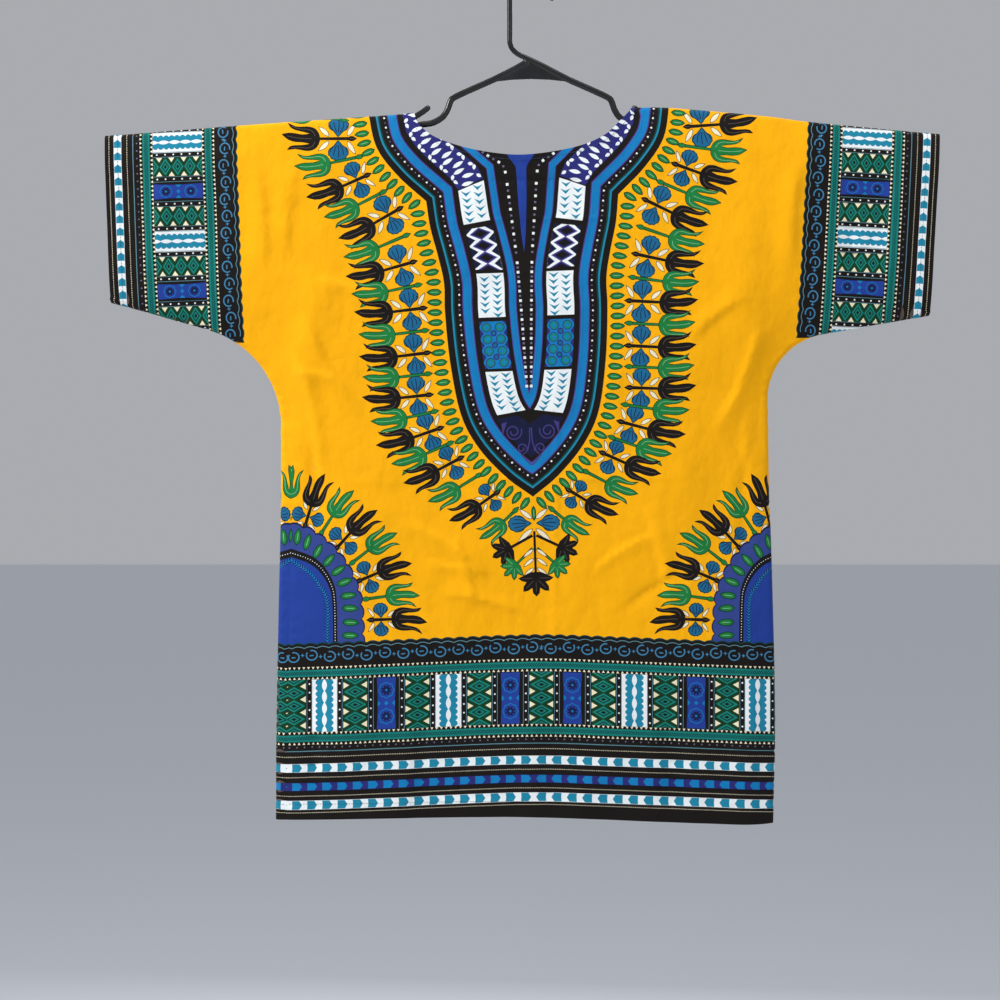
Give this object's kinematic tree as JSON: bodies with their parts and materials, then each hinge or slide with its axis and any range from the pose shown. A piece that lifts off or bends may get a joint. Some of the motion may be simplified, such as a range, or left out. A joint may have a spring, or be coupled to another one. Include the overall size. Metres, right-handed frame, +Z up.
{
  "type": "dashiki shirt on a hanger",
  "caption": "Short-sleeved printed cotton dashiki shirt with a scooped neck, hanging from a tubular plastic hanger with a hook and strap notches.",
  "frame": {"origin": "inner top of the hanger's hook, where it rests on a rail", "axes": "+Z up, the shirt's front faces -Y, +X to the right when looking at the front"},
  "size_m": [0.899, 0.0378, 0.9206],
  "materials": {
    "cloth": "plain-woven cotton with a printed design, nearly matte",
    "hanger": "satin black moulded plastic"
  },
  "bodies": {
    "root": {"front": "cloth", "back": "cloth", "hanger_hook": "hanger", "hanger_web": "hanger", "hanger_arm_left": "hanger", "hanger_arm_right": "hanger", "hanger_bar": "hanger"}
  },
  "joints": []
}
